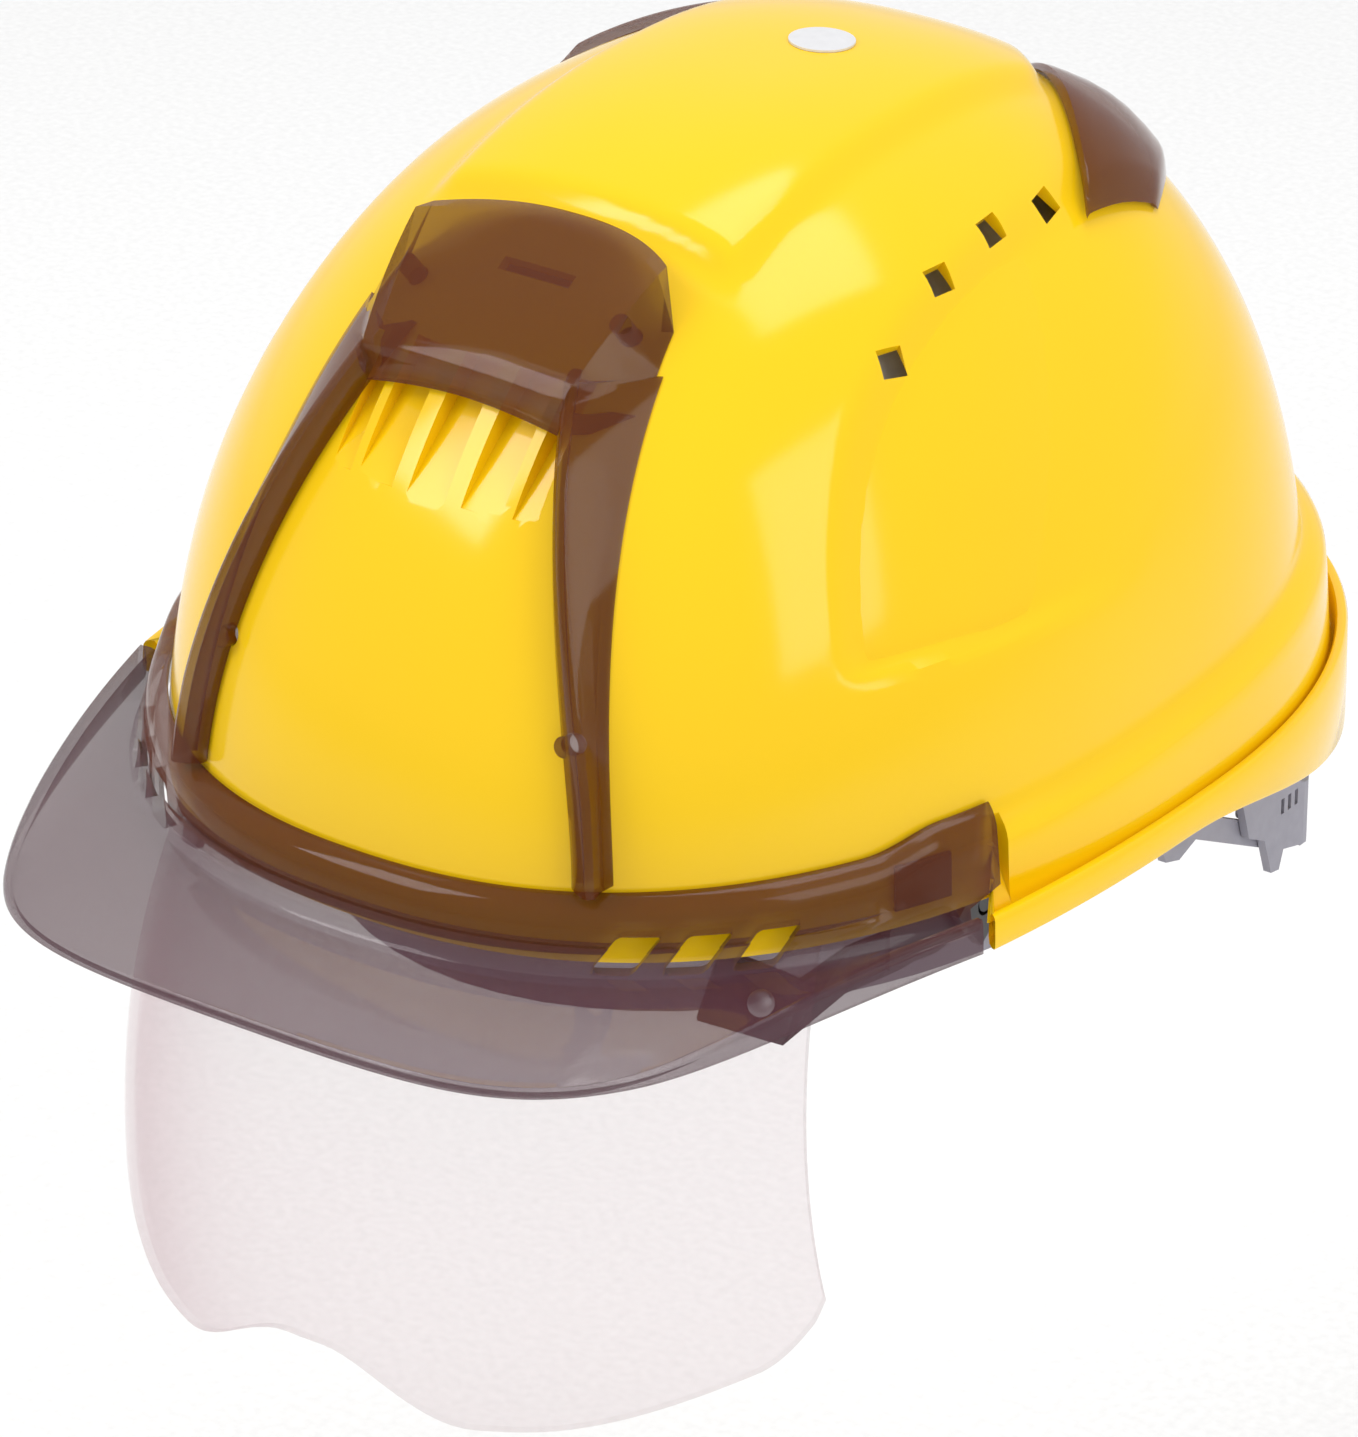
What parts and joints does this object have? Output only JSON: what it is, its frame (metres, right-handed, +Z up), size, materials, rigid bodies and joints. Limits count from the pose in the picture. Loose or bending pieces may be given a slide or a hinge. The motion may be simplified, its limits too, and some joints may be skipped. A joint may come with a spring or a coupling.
{
  "type": "hard hat with face shield",
  "caption": "Vented industrial hard hat with a smoked clip-on visor, smoked vent covers, a foam liner, an adjustable head harness and a clear shield that swings down.",
  "frame": {"origin": "centre of the head opening, at the seat plane of the headband", "axes": "+Z up through the crown, -Y out over the brim, +X to the wearer's left"},
  "size_m": [0.2098, 0.2899, 0.2197],
  "materials": {
    "shell": "glossy yellow moulded plastic",
    "smoked": "smoked clear plastic",
    "clear": "clear plastic with a faint warm tint",
    "dark_plastic": "dark moulded plastic",
    "harness": "grey flexible plastic",
    "foam": "white bead foam",
    "pad": "knitted fabric over foam",
    "steel": "plain steel",
    "label": "blank silver sticker"
  },
  "bodies": {
    "cap": {"shell": "shell", "visor": "smoked", "visor_clips": "dark_plastic", "front_vent_cover": "smoked", "rear_vent_cover": "smoked", "crown_label": "label", "shield_track_left": "dark_plastic", "shield_track_right": "dark_plastic", "track_screws": "steel", "impact_liner": "foam", "liner_buttons": "dark_plastic", "cradle": "harness", "cradle_hub": "harness", "headband": "harness", "brow_pad": "pad", "crown_pad": "pad", "hanger_keys": "harness"},
    "shield": {"face_shield": "clear", "shield_arm_left": "dark_plastic", "shield_arm_right": "dark_plastic", "shield_rivets": "steel"},
    "nape": {"nape_band": "harness", "nape_pad": "pad"}
  },
  "joints": [
    {"name": "shield_swing", "type": "hinge", "parent": "cap", "child": "shield", "pos_m": [0, 0.0061, -0.0504], "axis": [-1, 0, 0], "range_deg": [0, 44]},
    {"name": "nape_slide", "type": "slide", "parent": "cap", "child": "nape", "axis": [0, 0.8941, -0.4478], "range_m": [-0.006, 0.006]}
  ]
}
